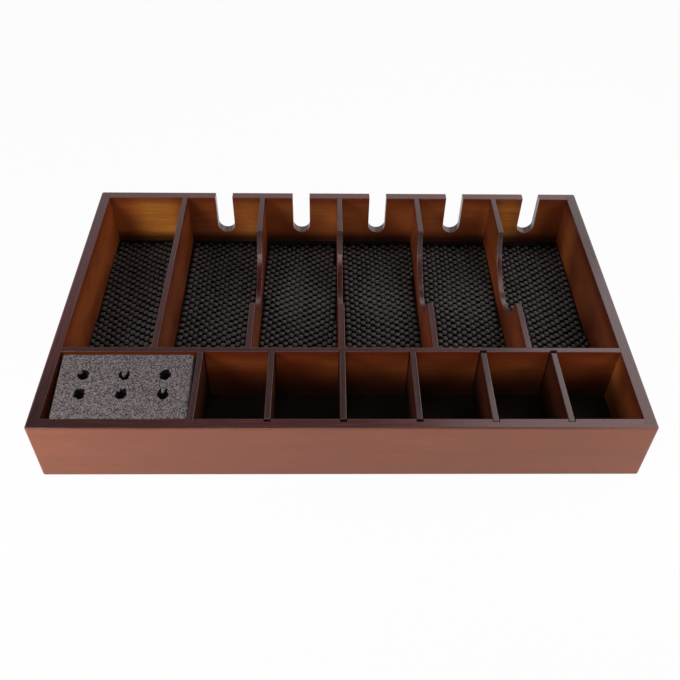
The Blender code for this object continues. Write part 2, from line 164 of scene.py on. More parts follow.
def make_board(node, pieces, grain_axes, grain_shift, finish, body):
    """One mesh of sawn pieces, each with the matrix that stands its drawing up. Every point carries the two
    attributes that the finish reads: its place along the grain, up, and through the board, and its stain."""
    places, stains, faces, count = [], [], [], 0
    for (rings, stain), stand in pieces:
        number, walls = ring_quads(*rings.shape[:2], count)
        faces += walls.tolist() + [number[0, ::-1].tolist(), number[-1].tolist()]
        places.append(rings.reshape(-1, 3) @ stand.T)
        stains.append(stain.reshape(-1, 3))
        count += number.size
    places, stains = np.concatenate(places), np.concatenate(stains)
    mesh = bpy.data.meshes.new(node + "_dressed")
    mesh.from_pydata(places.tolist(), [], faces)
    grain = places[:, grain_axes] + np.array((grain_shift, 0, grain_shift))
    for attribute, values in (("grain", grain), ("stain", stains)):
        mesh.attributes.new(attribute, "FLOAT_VECTOR", "POINT").data.foreach_set("vector", values.ravel())
    mesh.shade_smooth()
    mesh.set_sharp_from_angle(angle=math.radians(35))
    mesh.materials.append(finish)
    add_piece(node, mesh, body)


def new_finish(name, roughness=0.5, specular=0.5):
    """A new finish, with its nodes and its shader."""
    finish = bpy.data.materials.new(name)
    finish.use_nodes = True
    shader = finish.node_tree.nodes["Principled BSDF"]
    shader.inputs["Roughness"].default_value = roughness
    shader.inputs["Specular IOR Level"].default_value = specular
    return finish, finish.node_tree, shader


def add_node(tree, kind, settings=None, **inputs):
    """A shader node with its settings, and its inputs set to values or joined to other nodes' outputs."""
    node = tree.nodes.new(kind)
    for setting, value in (settings or {}).items():
        setattr(node, setting, value)
    for name, value in inputs.items():
        socket = node.inputs[int(name[1:])] if name[0] == "_" else node.inputs[name.replace("_", " ")]
        if isinstance(value, bpy.types.NodeSocket):
            tree.links.new(value, socket)
        else:
            socket.default_value = value
    return node


def reckon(tree, operation, *values):
    """The outcome of one operation on up to three values."""
    inputs = {f"_{number}": value for number, value in enumerate(values)}
    return add_node(tree, "ShaderNodeMath", {"operation": operation}, **inputs).outputs[0]


def spread(tree, value, low, high, start=0.0, end=1.0, how="LINEAR"):
    """A value's way from low to high, turned into a way from start to end and held there."""
    return add_node(tree, "ShaderNodeMapRange", {"interpolation_type": how}, Value=value, From_Min=low,
                    From_Max=high, To_Min=start, To_Max=end).outputs[0]


def mottle(tree, scale, detail, roughness=0.5, place=None):
    """Soft random spots on a piece. The scale is their number in a metre, or one number for each axis."""
    place = place or add_node(tree, "ShaderNodeTexCoord").outputs["Object"]
    if isinstance(scale, tuple):
        stretch = {"operation": "MULTIPLY"}
        place, scale = add_node(tree, "ShaderNodeVectorMath", stretch, _0=place, _1=scale).outputs[0], 1.0
    return add_node(tree, "ShaderNodeTexNoise", Vector=place, Scale=scale, Detail=detail,
                    Roughness=roughness).outputs[0]


def blend_values(tree, share, one, other):
    """One value, passing to the other by a share."""
    return add_node(tree, "ShaderNodeMix", {"data_type": "FLOAT"}, Factor=share, _2=one, _3=other).outputs[0]


def blend_tones(tree, share, one, other, how="MIX"):
    """One tone, passing to the other by a share."""
    one, other = ((*tone, 1.0) if isinstance(tone, tuple) else tone for tone in (one, other))
    return add_node(tree, "ShaderNodeMix", {"data_type": "RGBA", "blend_type": how}, Factor=share, _6=one,
                    _7=other).outputs[2]


def lay_on(tree, shader, tone, relief, strength, depth):
    """Gives a shader its tone, and a relief of some depth as a bump."""
    bump = add_node(tree, "ShaderNodeBump", Strength=strength, Distance=depth, Height=relief)
    tree.links.new(tone, shader.inputs["Base Color"])
    tree.links.new(bump.outputs[0], shader.inputs["Normal"])


def stained_wood(name, outer, inner, toned, rim, patches=(), painted_foot_shade=0.0, rim_shade=(0.0, 1.0, 0.0)):
    """Stained wood under satin lacquer. Streaks and broad bands of the grain pass between the pale and the
    deep tone of a stain. The outside is calm; the inside is amber, reddened by toner in soft patches and
    towards the rim. Rims are darkest and sawn cuts black, and the rim's toner wraps a little way round the
    edge. Painted shade: the narrow bays' walls darken to black at the foot, and a wall's foot in the deep
    bays by the share given. Each patch has a place along the grain, a half width and a share: above nothing
    the inside turns golden there, below nothing it turns darker. The rim is darkened from one place along
    the grain, fading out by another, as painted shade. Pores are fine dashes, sunk and darker."""
    golden, patch_edge = ((0.43, 0.142, 0.024), (0.65, 0.25, 0.044)), (-0.012, 0.016)
    rim_shade_tone, near_black_tone = (0.01, 0.0026, 0.0026), (0.006, 0.003, 0.003)
    toner_rise, rim_wrap, patch_fall = (0.043, 0.0595), (0.0588, 0.0598), (0.046, 0.058)
    narrow_shade_rise, wall_shade_rise = (0.01, 0.05), (0.008, 0.021)
    material, tree, shader = new_finish(name)
    grain = add_node(tree, "ShaderNodeAttribute", {"attribute_name": "grain"}).outputs["Vector"]
    stain = add_node(tree, "ShaderNodeAttribute", {"attribute_name": "stain"}).outputs["Vector"]
    along, up, _ = add_node(tree, "ShaderNodeSeparateXYZ", _0=grain).outputs
    is_rim, is_inside, is_narrow = add_node(tree, "ShaderNodeSeparateXYZ", _0=stain).outputs
    blend, reckoned = partial(blend_tones, tree), partial(reckon, tree)
    grain_mottle = partial(mottle, tree, place=grain)

    def eased(value, reach, start=0.0, end=1.0):
        return spread(tree, value, *reach, start, end, "SMOOTHSTEP")

    streaks = grain_mottle((26.0, 620.0, 620.0), 4.0, 0.6)
    bands = grain_mottle((7.0, 60.0, 60.0), 3.0)
    clouds = grain_mottle((16.0, 22.0, 22.0), 2.0)
    pores = grain_mottle((260.0, 4200.0, 4200.0), 1.0)
    figure = blend_values(tree, 0.45, streaks, bands)
    outer_tone = blend(eased(figure, (0.3, 0.7)), outer[1], outer[0])
    outer_tone = blend(eased(clouds, (0.38, 0.62), 0.0, 0.7), outer_tone, outer[2])
    inner_figure = eased(figure, (0.32, 0.68))
    inner_tone = blend(inner_figure, inner[1], inner[0])
    toner = reckoned("MAXIMUM", eased(up, toner_rise), eased(clouds, (0.4, 0.66), 0.0, 0.75))
    inner_tone = blend(toner, inner_tone, toned)
    golden_tone = blend(inner_figure, *golden)
    for middle, half, share in patches:
        away = reckoned("ABSOLUTE", reckoned("SUBTRACT", along, middle))
        patch = reckoned("MULTIPLY", eased(away, [half + edge for edge in patch_edge], abs(share), 0.0),
                         eased(up, patch_fall, 1.0, 0.3))
        # A patch below nothing is painted shade, at half the toner's tone
        patch_tone = golden_tone if share > 0 else tuple(0.5 * value for value in toned)
        inner_tone = blend(patch, inner_tone, patch_tone)
    tone = blend(is_inside, outer_tone, inner_tone)
    rim_tone = blend(eased(streaks, (0.35, 0.65)), rim[1], rim[0])
    # Painted shade: the rim is darker towards one end of the board, where less light falls on it
    rim_shade_start, rim_shade_end, rim_shade_share = rim_shade
    rim_tone = blend(eased(along, (rim_shade_start, rim_shade_end), rim_shade_share, 0.0), rim_tone, rim_shade_tone)
    tone = blend(reckoned("MAXIMUM", is_rim, eased(up, rim_wrap, 0.0, 0.85)), tone, rim_tone)
    # Painted shade: a wall goes black towards its foot, fully in a narrow bay and by the share given in a deep
    # one; a sawn cut is black
    foot_shade_share = reckoned("MULTIPLY", eased(up, narrow_shade_rise, 0.88, 0.0), eased(is_narrow, (0.0, 0.5)))
    wall_foot_shade_share = reckoned("MULTIPLY", eased(up, wall_shade_rise, painted_foot_shade, 0.0), is_inside)
    foot_shade_share = reckoned("MAXIMUM", foot_shade_share, wall_foot_shade_share)
    is_cut = (0.5, 1.0)
    tone = blend(reckoned("MAXIMUM", foot_shade_share, eased(is_narrow, is_cut)), tone, near_black_tone)
    pore_depth = spread(tree, pores, 0.3, 0.42, 0.72, 1.0)
    lay_on(tree, shader, blend(1.0, tone, pore_depth, "MULTIPLY"),
           reckoned("MULTIPLY_ADD", streaks, 0.6, pore_depth), 0.25, 0.00012)
    shader.inputs["Specular Tint"].default_value = (1.0, 0.86, 0.88, 1.0)
    gloss = reckoned("MULTIPLY_ADD", is_rim, -0.1, eased(streaks, (0.3, 0.7), 0.28, 0.38))
    dull = reckoned("ADD", gloss, eased(is_narrow, is_cut, 0.0, 0.4))
    tree.links.new(dull, shader.inputs["Roughness"])
    return material


walnut_outside = ((0.38, 0.106, 0.041), (0.3, 0.079, 0.028), (0.315, 0.088, 0.043))
walnut_rim = ((0.056, 0.014, 0.0125), (0.04, 0.01, 0.0095))
walnut_inside = ((0.38, 0.11, 0.028), (0.25, 0.06, 0.013))
wall_toner = (0.155, 0.029, 0.0085)
front_shift = 0.31
wall_stain = stained_wood("stained_wall_wood", walnut_outside, walnut_inside, wall_toner,
                          ((0.078, 0.0195, 0.0175), (0.056, 0.014, 0.0132)),
                          rim_shade=(front_shift - 0.28, front_shift + 0.01, 0.8))

outer_edge, inner_edge = rounded(0.0014), rounded(0.0005)
joint_edge, housing_edge = rounded(0.00005), rounded(0.0002)
outer_corner = 0.0022
# A stain is (rim, inside, narrow bay). The last turns a wall black at the foot at a half, as painted shade,
# and a sawn cut black at 1
outside, inside, rim = (0.0, 0.0, 0.0), (0.0, 1.0, 0.0), (1.0, 0.0, 0.0)
narrow, cut = (0.0, 1.0, 0.5), (0.85, 1.0, 1.0)
outer_side = (outer_edge, outer_edge, outside)
joint_side = (joint_edge, joint_edge, outside)
floor_rebate = 0.0045
foot_rebate = rebated(floor_rebate, board_foot)
guard_pitch = 0.058225
front_divider_places = guard_pitch * np.arange(-2, 4)
housing_width, front_housing_floor = 0.0056, -0.145
housing_rebate = rebated(0.0014, board_foot)
beside_housing = 0.0006


def housing(middle, face, bottom, way):
    """Six corners of a housing sawn into a board's face, passed to the right (way 1) or to the left (-1)."""
    half = way * housing_width / 2
    near, far = middle - half, middle + half
    return [(near - way * beside_housing, face, 0), (near, face, 0), (near, bottom, 0), (far, bottom, 0),
            (far, face, 0), (far + way * beside_housing, face, 0)]


front_corners = [(-half_width, -half_depth, outer_corner), (half_width, -half_depth, outer_corner),
                 (half_width, inner_front - lap, 0), (inner_side, inner_front - lap, 0),
                 (inner_side, inner_front, 0)]
inner_front_side = (foot_rebate, inner_edge, narrow)
front_sides = [outer_side, outer_side, joint_side, joint_side, inner_front_side]
# The housings' sawn faces are black: painted shade in these narrow notches
for divider_place in front_divider_places[::-1]:
    front_corners += housing(divider_place, inner_front, front_housing_floor, -1)
    front_sides += [inner_front_side, (joint_edge, housing_edge, cut), (housing_rebate, housing_edge, cut),
                    (joint_edge, housing_edge, cut), inner_front_side, inner_front_side]
front_corners += [(-inner_side, inner_front, 0), (-inner_side, inner_front - lap, 0),
                  (-half_width, inner_front - lap, 0)]
front_sides += [joint_side, joint_side, outer_side]
front_board = sawn(front_corners, front_sides, 0.0, height, outside, rim)
make_board("front_wall", [(front_board, drawn_flat)], grain_left_to_right, front_shift, wall_stain, "frame")


# Side walls: two boards of the same stock, from the front wall's lap to the back wall's, with the rebate
# for the floor panel along the foot. Past the inner corners they are square, where they lie in the laps.

corner_reach = 0.0008
under_rail = (-0.0705, -0.0675)


def side_wall_board(side):
    """The wall's plan is a plain rectangle; its inner edge is rounded only between the inner corners. Its
    inner face is darker in the front row than in the deep bays, left of the foam most of all: painted shade.
    The stain changes behind the rail's end."""
    front_row_shade_stain = (0.0, 1.0, 0.22) if side > 0 else (0.7, 1.0, 0.5)
    ends = (inner_front - lap, inner_back + lap)
    square = (joint_edge, joint_edge, inside)
    inner_places = (ends[0], inner_front, inner_front + corner_reach, *under_rail, inner_back - corner_reach,
                    inner_back, ends[1])
    corners = [(-half_width, ends[0], 0), *((-inner_side, place, 0) for place in inner_places),
               (-half_width, ends[1], 0)]
    near_front, near_back = (foot_rebate, inner_edge, front_row_shade_stain), (foot_rebate, inner_edge, inside)
    sides = [joint_side, square, square, near_front, near_back, near_back, square, square, joint_side,
             outer_side]
    rings, stains = sawn(corners, sides, 0.0, height, outside, rim)
    if side > 0:
        rings = rings[:, ::-1] * np.array((-1, 1, 1))
        stains = stains[:, ::-1]
    return rings, stains


left_shift, right_shift = 1.73, 2.96
left_stain = stained_wood("stained_left_wall_wood", walnut_outside,
                          ((0.56, 0.155, 0.036), (0.37, 0.084, 0.017)), (0.24, 0.043, 0.011),
                          ((0.086, 0.0215, 0.019), (0.064, 0.0158, 0.015)),
                          rim_shade=(left_shift - 0.165, left_shift + 0.01, 0.88))
# The right wall's two golden patches, by the rail and towards the back, are painted highlights: lit streaks on
# its inner face
right_stain = stained_wood("stained_right_wall_wood", walnut_outside,
                           ((0.27, 0.072, 0.024), (0.18, 0.04, 0.011)), (0.115, 0.021, 0.008),
                           ((0.048, 0.012, 0.0107), (0.035, 0.0087, 0.0082)),
                           [(right_shift - 0.074, 0.004, 0.75), (right_shift + 0.108, 0.012, 0.35)])
for wall_name, side, shift, finish in (("left_wall", -1, left_shift, left_stain),
                                       ("right_wall", 1, right_shift, right_stain)):
    make_board(wall_name, [(side_wall_board(side), drawn_flat)], grain_front_to_back, shift, finish, "frame")


# Back wall: the same stock, with a round-bottomed slot sawn down behind each bay but the first, for a
# clipper's cord. The slots' edges are eased and stained dark with the rim. Its ends lap over the side walls.

slot_radius, slot_depth = 0.0085, 0.0425
bay_places = (-0.194167, -0.1165, -0.038833, 0.038833, 0.1165, 0.194167)
slot_side = (inner_edge, inner_edge, rim)
rim_side = (outer_edge, inner_edge, rim)
back_corners = [(-inner_side, 0.0, 0), (inner_side, 0.0, 0), (inner_side, height, 0)]
back_sides = [(outer_edge, rebated(board_foot, floor_rebate), outside), joint_side, rim_side]
slot_angle = np.linspace(0, -math.pi, 25)
for slot_place in bay_places[:0:-1]:
    bowl = np.stack((slot_place + slot_radius * np.cos(slot_angle),
                     height - slot_depth + slot_radius * (1 + np.sin(slot_angle)), 0 * slot_angle), 1)
    back_corners += [(slot_place + slot_radius, height, 0)] + bowl.tolist()
    back_corners += [(slot_place - slot_radius, height, 0)]
    back_sides += [slot_side] * (len(bowl) + 1) + [rim_side]
back_corners += [(-inner_side, height, 0)]
back_sides += [joint_side]
back_board = sawn(back_corners, back_sides, -half_depth, inner_front, outside, inside)
back_pieces = [(back_board, drawn_from_front)]
for side in (-1, 1):
    near, far = sorted((side * inner_side, side * half_width))
    end_corners = [(near, inner_back + lap, 0), (far, inner_back + lap, 0),
                   (far, half_depth, outer_corner * (side > 0)), (near, half_depth, outer_corner * (side < 0))]
    far_side, near_side = (outer_side, joint_side)[::side]
    end_sides = [joint_side, far_side, outer_side, near_side]
    back_pieces.append((sawn(end_corners, end_sides, 0.0, height, outside, rim), drawn_flat))
back_shift = 4.18
# Patches are (middle, half width, share): golden where the toner spray missed the inside, while the two with
# shares below nothing are painted shade, in bay 2 beside the comb bay's divider and in bay 6 beside the right
# wall
back_patches = ((-0.184, 0.02, 1.0), (-0.15, 0.006, -0.7), (-0.092, 0.01, 0.55), (-0.008, 0.008, 0.3),
                (0.1695, 0.01, 1.0), (0.222, 0.014, -0.7))
# The back wall's inner face goes dark towards its foot over the liners: painted shade
back_stain = stained_wood("stained_back_wall_wood", walnut_outside, walnut_inside, wall_toner,
                          ((0.125, 0.031, 0.0275), (0.092, 0.023, 0.0212)),
                          [(middle + back_shift, half, share) for middle, half, share in back_patches],
                          painted_foot_shade=0.85)
make_board("back_wall", back_pieces, grain_left_to_right, back_shift, back_stain, "frame")


# Floor panel: a sheet of thin plywood, stained dark and made almost black-brown as painted shade, let into
# # the rebates of the four walls. Its solid is right as it is, and gets this finish.

floor_stain, floor_tree, floor_shader = new_finish("stained_floor_ply", 0.55, 0.12)
floor_grain = mottle(floor_tree, (420.0, 16.0, 420.0), 4.0, 0.6)
floor_tone = blend_tones(floor_tree, floor_grain, (0.004, 0.0027, 0.0024), (0.011, 0.006, 0.0042))
lay_on(floor_tree, floor_shader, floor_tone, floor_grain, 0.3, 0.0002)
bottom_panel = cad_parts["bottom_panel"]
for panel_slot in bottom_panel.material_slots:
    panel_slot.material = floor_stain


# Middle rail: a 5 mm board between the side walls that parts the front row from the deep bays. Housings in
# its front face take the back ends of the front row's dividers.

rail_front, rail_back = -0.0715, -0.0665
rail_housing_floor = rail_front + 0.002
rail_shift = 5.52
divider_stain = stained_wood("stained_divider_wood", walnut_outside,
                             ((0.35, 0.09, 0.024), (0.225, 0.05, 0.011)), (0.165, 0.025, 0.006),
                             walnut_rim, rim_shade=(rail_shift - 0.28, rail_shift + 0.02, 0.7))
tucked = 0.0002
rail_face, rail_front_face = (joint_edge, inner_edge, inside), (joint_edge, inner_edge, narrow)
rail_corners = [(-inner_side - tucked, rail_front, 0)]
rail_sides = [rail_front_face]
# The housings' sawn faces are black: painted shade in these narrow notches
for divider_place in front_divider_places:
    rail_corners += housing(divider_place, rail_front, rail_housing_floor, 1)
    rail_sides += [rail_front_face] + [(joint_edge, housing_edge, cut)] * 3 + [rail_front_face] * 2
rail_corners += [(inner_side + tucked, rail_front, 0), (inner_side + tucked, rail_back, 0),
                 (-inner_side - tucked, rail_back, 0)]
rail_sides += [joint_side, rail_face, joint_side]
rail_board = sawn(rail_corners, rail_sides, board_foot, height, inside, rim)
make_board("middle_rail", [(rail_board, drawn_flat)], grain_left_to_right, rail_shift, divider_stain, "frame")


# Fixed dividers of the deep row: 5 mm boards glued into the rail and the back wall. The first is straight.
# The other four have a long scoop sawn out of the top, so that fingers reach round a clipper.

clipper_divider_places = (-0.155333, -0.077667, 0.0, 0.077667, 0.155333)
divider_front, divider_back = rail_back - tucked, inner_back + tucked
divider_half = 0.0025
rim_cut = (inner_edge, inner_edge, rim)
scoop_middle, scoop_chord, scoop_depth = 0.03775, 0.1005, 0.039
scoop_radius = ((scoop_chord / 2) ** 2 + scoop_depth ** 2) / (2 * scoop_depth)
scoop_half_angle = math.asin(scoop_chord / 2 / scoop_radius)
scoop_end_round = 0.0011
dark_scoop_side, dark_scoop_sides = (inner_edge, inner_edge, (1.0, 0.0, 0.9)), 7
divider_shift, next_divider_shift = 7.1, 1.37

for number, divider_place in enumerate(clipper_divider_places):
    corners = [(divider_front, board_foot, 0), (divider_back, board_foot, 0), (divider_back, height, 0)]
    sides = [joint_side, joint_side, rim_cut]
    if number > 0:
        sweep = np.linspace(scoop_half_angle, -scoop_half_angle, 45)
        scoop = np.stack((scoop_middle + scoop_radius * np.sin(sweep),
                          height - scoop_depth + scoop_radius * (1 - np.cos(sweep)), 0 * sweep), 1)
        scoop[[0, -1], 2] = scoop_end_round
        corners += scoop.tolist()
        sides += [dark_scoop_side] * dark_scoop_sides + [rim_cut] * (len(scoop) - dark_scoop_sides)
    corners += [(divider_front, height, 0)]
    sides += [joint_side]
    divider_board = sawn(corners, sides, divider_place - divider_half, divider_place + divider_half,
                         inside, inside)
    node = f"clipper_divider_{number}" if number else "comb_bay_divider"
    make_board(node, [(divider_board, drawn_from_side)], grain_front_to_back,
               divider_shift + next_divider_shift * number, divider_stain, "frame")


# Dividers of the front row: thinner boards that stand loose in their housings and lift out. The guard
# dividers are cut short, so each shows a gap at one end: the first three at the front, the last two behind.

front_divider_half, top_round = 0.0024, 0.0007
loose_shift, next_loose_shift = 14.3, 1.61
# Their faces are far darker than the frame's inside: partly a darker stain of their own, partly painted shade
# of the narrow bays
dark_divider_stain = stained_wood("stained_loose_divider_wood", walnut_outside,
                                  ((0.085, 0.022, 0.009), (0.055, 0.014, 0.006)), (0.048, 0.01, 0.005),
                                  ((0.04, 0.016, 0.014), (0.027, 0.011, 0.01)))
whole, short_front, short_back = (-0.1447, -0.0698), (-0.1421, -0.0698), (-0.1447, -0.0724)
front_divider_ends = (whole, short_front, short_front, short_front, short_back, short_back)
for number, (divider_place, ends) in enumerate(zip(front_divider_places, front_divider_ends)):
    corners = [(ends[0], board_foot, 0), (ends[1], board_foot, 0), (ends[1], height, top_round),
               (ends[0], height, top_round)]
    sides = [joint_side, rim_cut, rim_cut, rim_cut]
    divider_board = sawn(corners, sides, divider_place - front_divider_half,
                         divider_place + front_divider_half, narrow, narrow)
    node = f"guard_divider_{number}" if number else "foam_bay_divider"
    make_board(node, [(divider_board, drawn_from_side)], grain_front_to_back,
               loose_shift + next_loose_shift * number, dark_divider_stain, node)


# Liners: sheets of vinyl-coated netting, cut with a knife and laid in the deep bays, each a little askew to
# the weave. Fat coated strands run from front to back and swell where they pass over the thin cross strands,
# each out of step with the next, so that a sheet is a field of nubs with black holes between them.

liner_width, liner_front = 0.0712, -0.0657
liner_back_gaps = (0.0035, 0.004, 0.0065, 0.0055, 0.006, 0.007)
warp_pitch, weft_pitch = 0.00453, 0.00395
warp_leans = (-2.5, 0.5, 3.2, -1.0, 2.0, 1.4)  # degrees from straight back
weft_slopes = (7.5, -8.8, -10.8, 6.7, -4.0, -8.5)  # degrees from straight across
weft_bows = (6.0, 0.0, 0.0, 0.0, 0.0, 0.0)  # a cross strand's bow, over the square of its way to the right
corner_lifts = (0.0035, 0.0005, 0.0004, 0.0006, 0.0004, 0.0008)
weave_middle = board_foot + 0.0015
warp_sides, strand_half_width, nub_half_width, strand_half_height = 8, 0.0008, 0.0019, 0.0005
weft_sides, weft_half_width, weft_half_height = 6, 0.0006, 0.0004
weft_drop, weft_duck, nub_rise, nub_half_height = 0.0008, 0.0002, 0.0008, 0.0005
swell_from, crown_from, swell_reach, swell_spread = 0.22, 0.28, 0.34, 0.07
weft_lit_share, side_lit_share, shade_below = 0.02, 0.4, 0.25
back_shade_reach, back_shade_fade, back_shade_share = 0.018, 0.016, 0.85
pull_aside, pull_along, pull_waves, curl_powers = 0.0007, 0.001, (75, 80, 30), (3, 6)
line_reach, shortest_line = 30, 0.008
swell_chance = np.random.default_rng(5)


def strand_lines(direction, spacing, half_area, points):
    """Evenly spaced lines in one direction over a rectangle, cut off at its sides: a line enters where the
    later of its two nearer sides is crossed, and leaves where the earlier of its two farther ones is. Gives
    the lines' numbers and evenly spaced points of each. Short ends at the corners are left out."""
    across = np.array((direction[1], -direction[0]))
    number = np.arange(-line_reach, line_reach + 1)
    foot = number[:, None] * spacing * across
    crossings = np.stack((-half_area - foot, half_area - foot)) / direction
    enter, leave = crossings.min(0).max(1), crossings.max(0).min(1)
    kept = leave - enter > shortest_line
    along = enter[kept, None] + (leave - enter)[kept, None] * np.linspace(0, 1, points)
    return number[kept], foot[kept, None] + along[..., None] * np.array(direction)


def strands(path, half_width, half_height, sideways, around):
    """Tubes along paths. A tube's ring at each point of its path is an ellipse with the given half width
    along the sideways direction and half height along Z, and the rings shrink to a dome at both ends."""
    angle = np.arange(around) / around * 2 * math.pi
    dome = np.ones(path.shape[1])
    dome[[0, -1]], dome[[1, -2]] = 0.35, 0.85
    return (path[:, :, None] + np.cos(angle)[:, None] * sideways * (half_width * dome)[..., None, None]
            + np.sin(angle)[:, None] * np.array((0, 0, 1.0)) * (half_height * dome)[..., None, None])


def strand_faces(tubes, first):
    """Quads between neighbouring rings of each tube, and a face over each of its two ends."""
    number = np.arange(tubes[..., 0].size).reshape(tubes.shape[:3]) + first
    after = np.roll(number, -1, 2)
    walls = np.stack((number[:, :-1], number[:, 1:], after[:, 1:], after[:, :-1]), 3).reshape(-1, 4)
    return walls.tolist() + number[:, 0].tolist() + number[:, -1, ::-1].tolist()


def smooth_rise(value, low, reach):
    """From nothing at the low value to 1 past the reach, as t t (3 - 2 t)."""
    share = np.clip((value - low) / reach, 0, 1)
    return share ** 2 * (3 - 2 * share)


liner_vinyl, liner_tree, liner_shader = new_finish("liner_vinyl", 0.42, 0.24)
liner_mottle = mottle(liner_tree, 900.0, 3.0)
liner_blend = blend_values(liner_tree, 0.5, liner_mottle, mottle(liner_tree, 60.0, 2.0))
liner_lit_share = add_node(liner_tree, "ShaderNodeAttribute", {"attribute_name": "lit_share"}).outputs["Fac"]
# Painted light and shade: the vinyl's grey shows as far as the lit share, and elsewhere it is black as in
# shade
liner_lit_mottle = reckon(liner_tree, "MULTIPLY", liner_lit_share, liner_blend)
vinyl_in_shade = (0.002, 0.0018, 0.0018)
liner_tone = blend_tones(liner_tree, liner_lit_mottle, vinyl_in_shade, (0.13, 0.116, 0.114))
lay_on(liner_tree, liner_shader, liner_tone, liner_mottle, 0.35, 0.00015)

# A matt black finish with no reflection for the faces in the dips and on the cross strands: painted shade
liner_shade_finish, hollow_tree, hollow_shader = new_finish("liner_vinyl_painted_shade", 1.0, 0.0)
hollow_tone = blend_tones(hollow_tree, mottle(hollow_tree, 900.0, 3.0), vinyl_in_shade, (0.006, 0.0054, 0.0054))
hollow_tree.links.new(hollow_tone, hollow_shader.inputs["Base Color"])

for number, (bay_place, back_gap) in enumerate(zip(bay_places, liner_back_gaps)):
    liner_back = inner_back - back_gap
    length = liner_back - liner_front
    half_sheet = np.array((liner_width, length)) / 2
    lean, slope = math.radians(warp_leans[number]), math.radians(weft_slopes[number])
    warp_way, weft_way = (math.sin(lean), math.cos(lean)), (math.cos(slope), math.sin(slope))
    beside_warp, beside_weft = (np.array((way[1], -way[0])) for way in (warp_way, weft_way))

    # A fat strand swells once in two cross strands, and its neighbour half way between: the beat counts
    # pairs of cross strands, and its cosine squared is 1 at a nub's crown and nothing half way to the next.
    warp_number, warp_plan = strand_lines(warp_way, warp_pitch, half_sheet - (0.0002, 0.0003),
                                          int(length / weft_pitch * 4))
    bowed = weft_bows[number] * np.maximum(warp_plan[..., 0], 0) ** 2
    beat = ((warp_plan @ -beside_weft - bowed) / weft_pitch + warp_number[:, None]) / 2
    swell = smooth_rise(np.cos(math.pi * beat) ** 2, swell_from, swell_reach)
    crown = smooth_rise(np.cos(math.pi * (beat - 0.02)) ** 2, crown_from, swell_reach)
    nub = np.round(beat).astype(int) + 40
    nub_sizes = swell_chance.normal(1.0, swell_spread, (len(warp_number), 80))
    swell *= nub_sizes[np.arange(len(warp_number))[:, None], nub]
    warp_path = np.dstack((warp_plan, weave_middle - nub_rise + nub_rise * swell))
    warp = strands(warp_path, strand_half_width + nub_half_width * swell ** 0.8,
                   strand_half_height + nub_half_height * swell, np.array((*beside_warp, 0)), warp_sides)

    weft_number, weft_plan = strand_lines(weft_way, weft_pitch, half_sheet - (0.0003, 0.0006),
                                          int(liner_width / warp_pitch * 4))
    ducking = np.cos(math.pi * (weft_plan @ beside_warp / warp_pitch - weft_number[:, None]))
    weft_path = np.dstack((weft_plan, weave_middle - weft_drop - weft_duck * ducking))
    weft = strands(weft_path, weft_half_width + 0 * ducking, weft_half_height + 0 * ducking,
                   np.array((*beside_weft, 0)), weft_sides)

    # The vinyl is painted lit on the nubs' crowns, most on top, and in painted shade in the dips, on the cross
    # strands and along the sheet's back end
    upper = np.maximum(np.sin(np.arange(warp_sides) / warp_sides * 2 * math.pi), 0)
    lit_share = np.r_[(crown[..., None] * (side_lit_share + (1 - side_lit_share) * upper)).ravel(),
                 np.full(weft[..., 0].size, weft_lit_share)]
    places = np.concatenate((warp.reshape(-1, 3), weft.reshape(-1, 3)))
    places[:, :2] = np.clip(places[:, :2], -half_sheet, half_sheet)
    lit_share *= 1 - back_shade_share * np.clip((places[:, 1] - half_sheet[1] + back_shade_reach) / back_shade_fade, 0, 1)

    # The weave is pulled about in slow waves that die out at the sheet's edges, and one corner curls up
    share = places[:, :2] / half_sheet
    pulled = np.prod(np.clip(1 - share ** 2, 0, 1), 1)
    places[:, 0] += pull_aside * pulled * np.sin(places[:, 1] * pull_waves[0] + number)
    places[:, 1] += pull_along * pulled * np.sin(places[:, :2] @ pull_waves[1:] + 2 * number)
    places[:, 2] += corner_lifts[number] * np.prod(np.clip(0.5 + 0.5 * share, 0, 1) ** curl_powers, 1)
    places[:, :2] += (bay_place, (liner_front + liner_back) / 2)

    node = f"clipper_liner_{number}" if number else "comb_bay_liner"
    liner_mesh = bpy.data.meshes.new(node + "_dressed")
    liner_faces = strand_faces(warp, 0) + strand_faces(weft, warp[..., 0].size)
    liner_mesh.from_pydata(places.tolist(), [], liner_faces)
    liner_mesh.attributes.new("lit_share", "FLOAT", "POINT").data.foreach_set("value", lit_share)
    corners, starts = np.empty(len(liner_mesh.loops), int), np.empty(len(liner_mesh.polygons), int)
    liner_mesh.loops.foreach_get("vertex_index", corners)
    liner_mesh.polygons.foreach_get("loop_start", starts)
    liner_mesh.materials.append(liner_vinyl)
    liner_mesh.materials.append(liner_shade_finish)
    # Faces whose lit share stays below the bound take the painted shade finish
    in_painted_shade = np.maximum.reduceat(lit_share[corners], starts) < shade_below
    liner_mesh.polygons.foreach_set("material_index", in_painted_shade.astype(np.int32))
    liner_mesh.shade_smooth()
    liner = add_piece(node, liner_mesh, node)


# Foam block: coarse grey packing foam cut to the foam bay, its edges a little crushed, with two rows of
# three holes punched right through. The punch tore the foam, so the mouths are ragged and in four of them a
# tongue of foam hangs over the hole. The block was cut a little out of square.

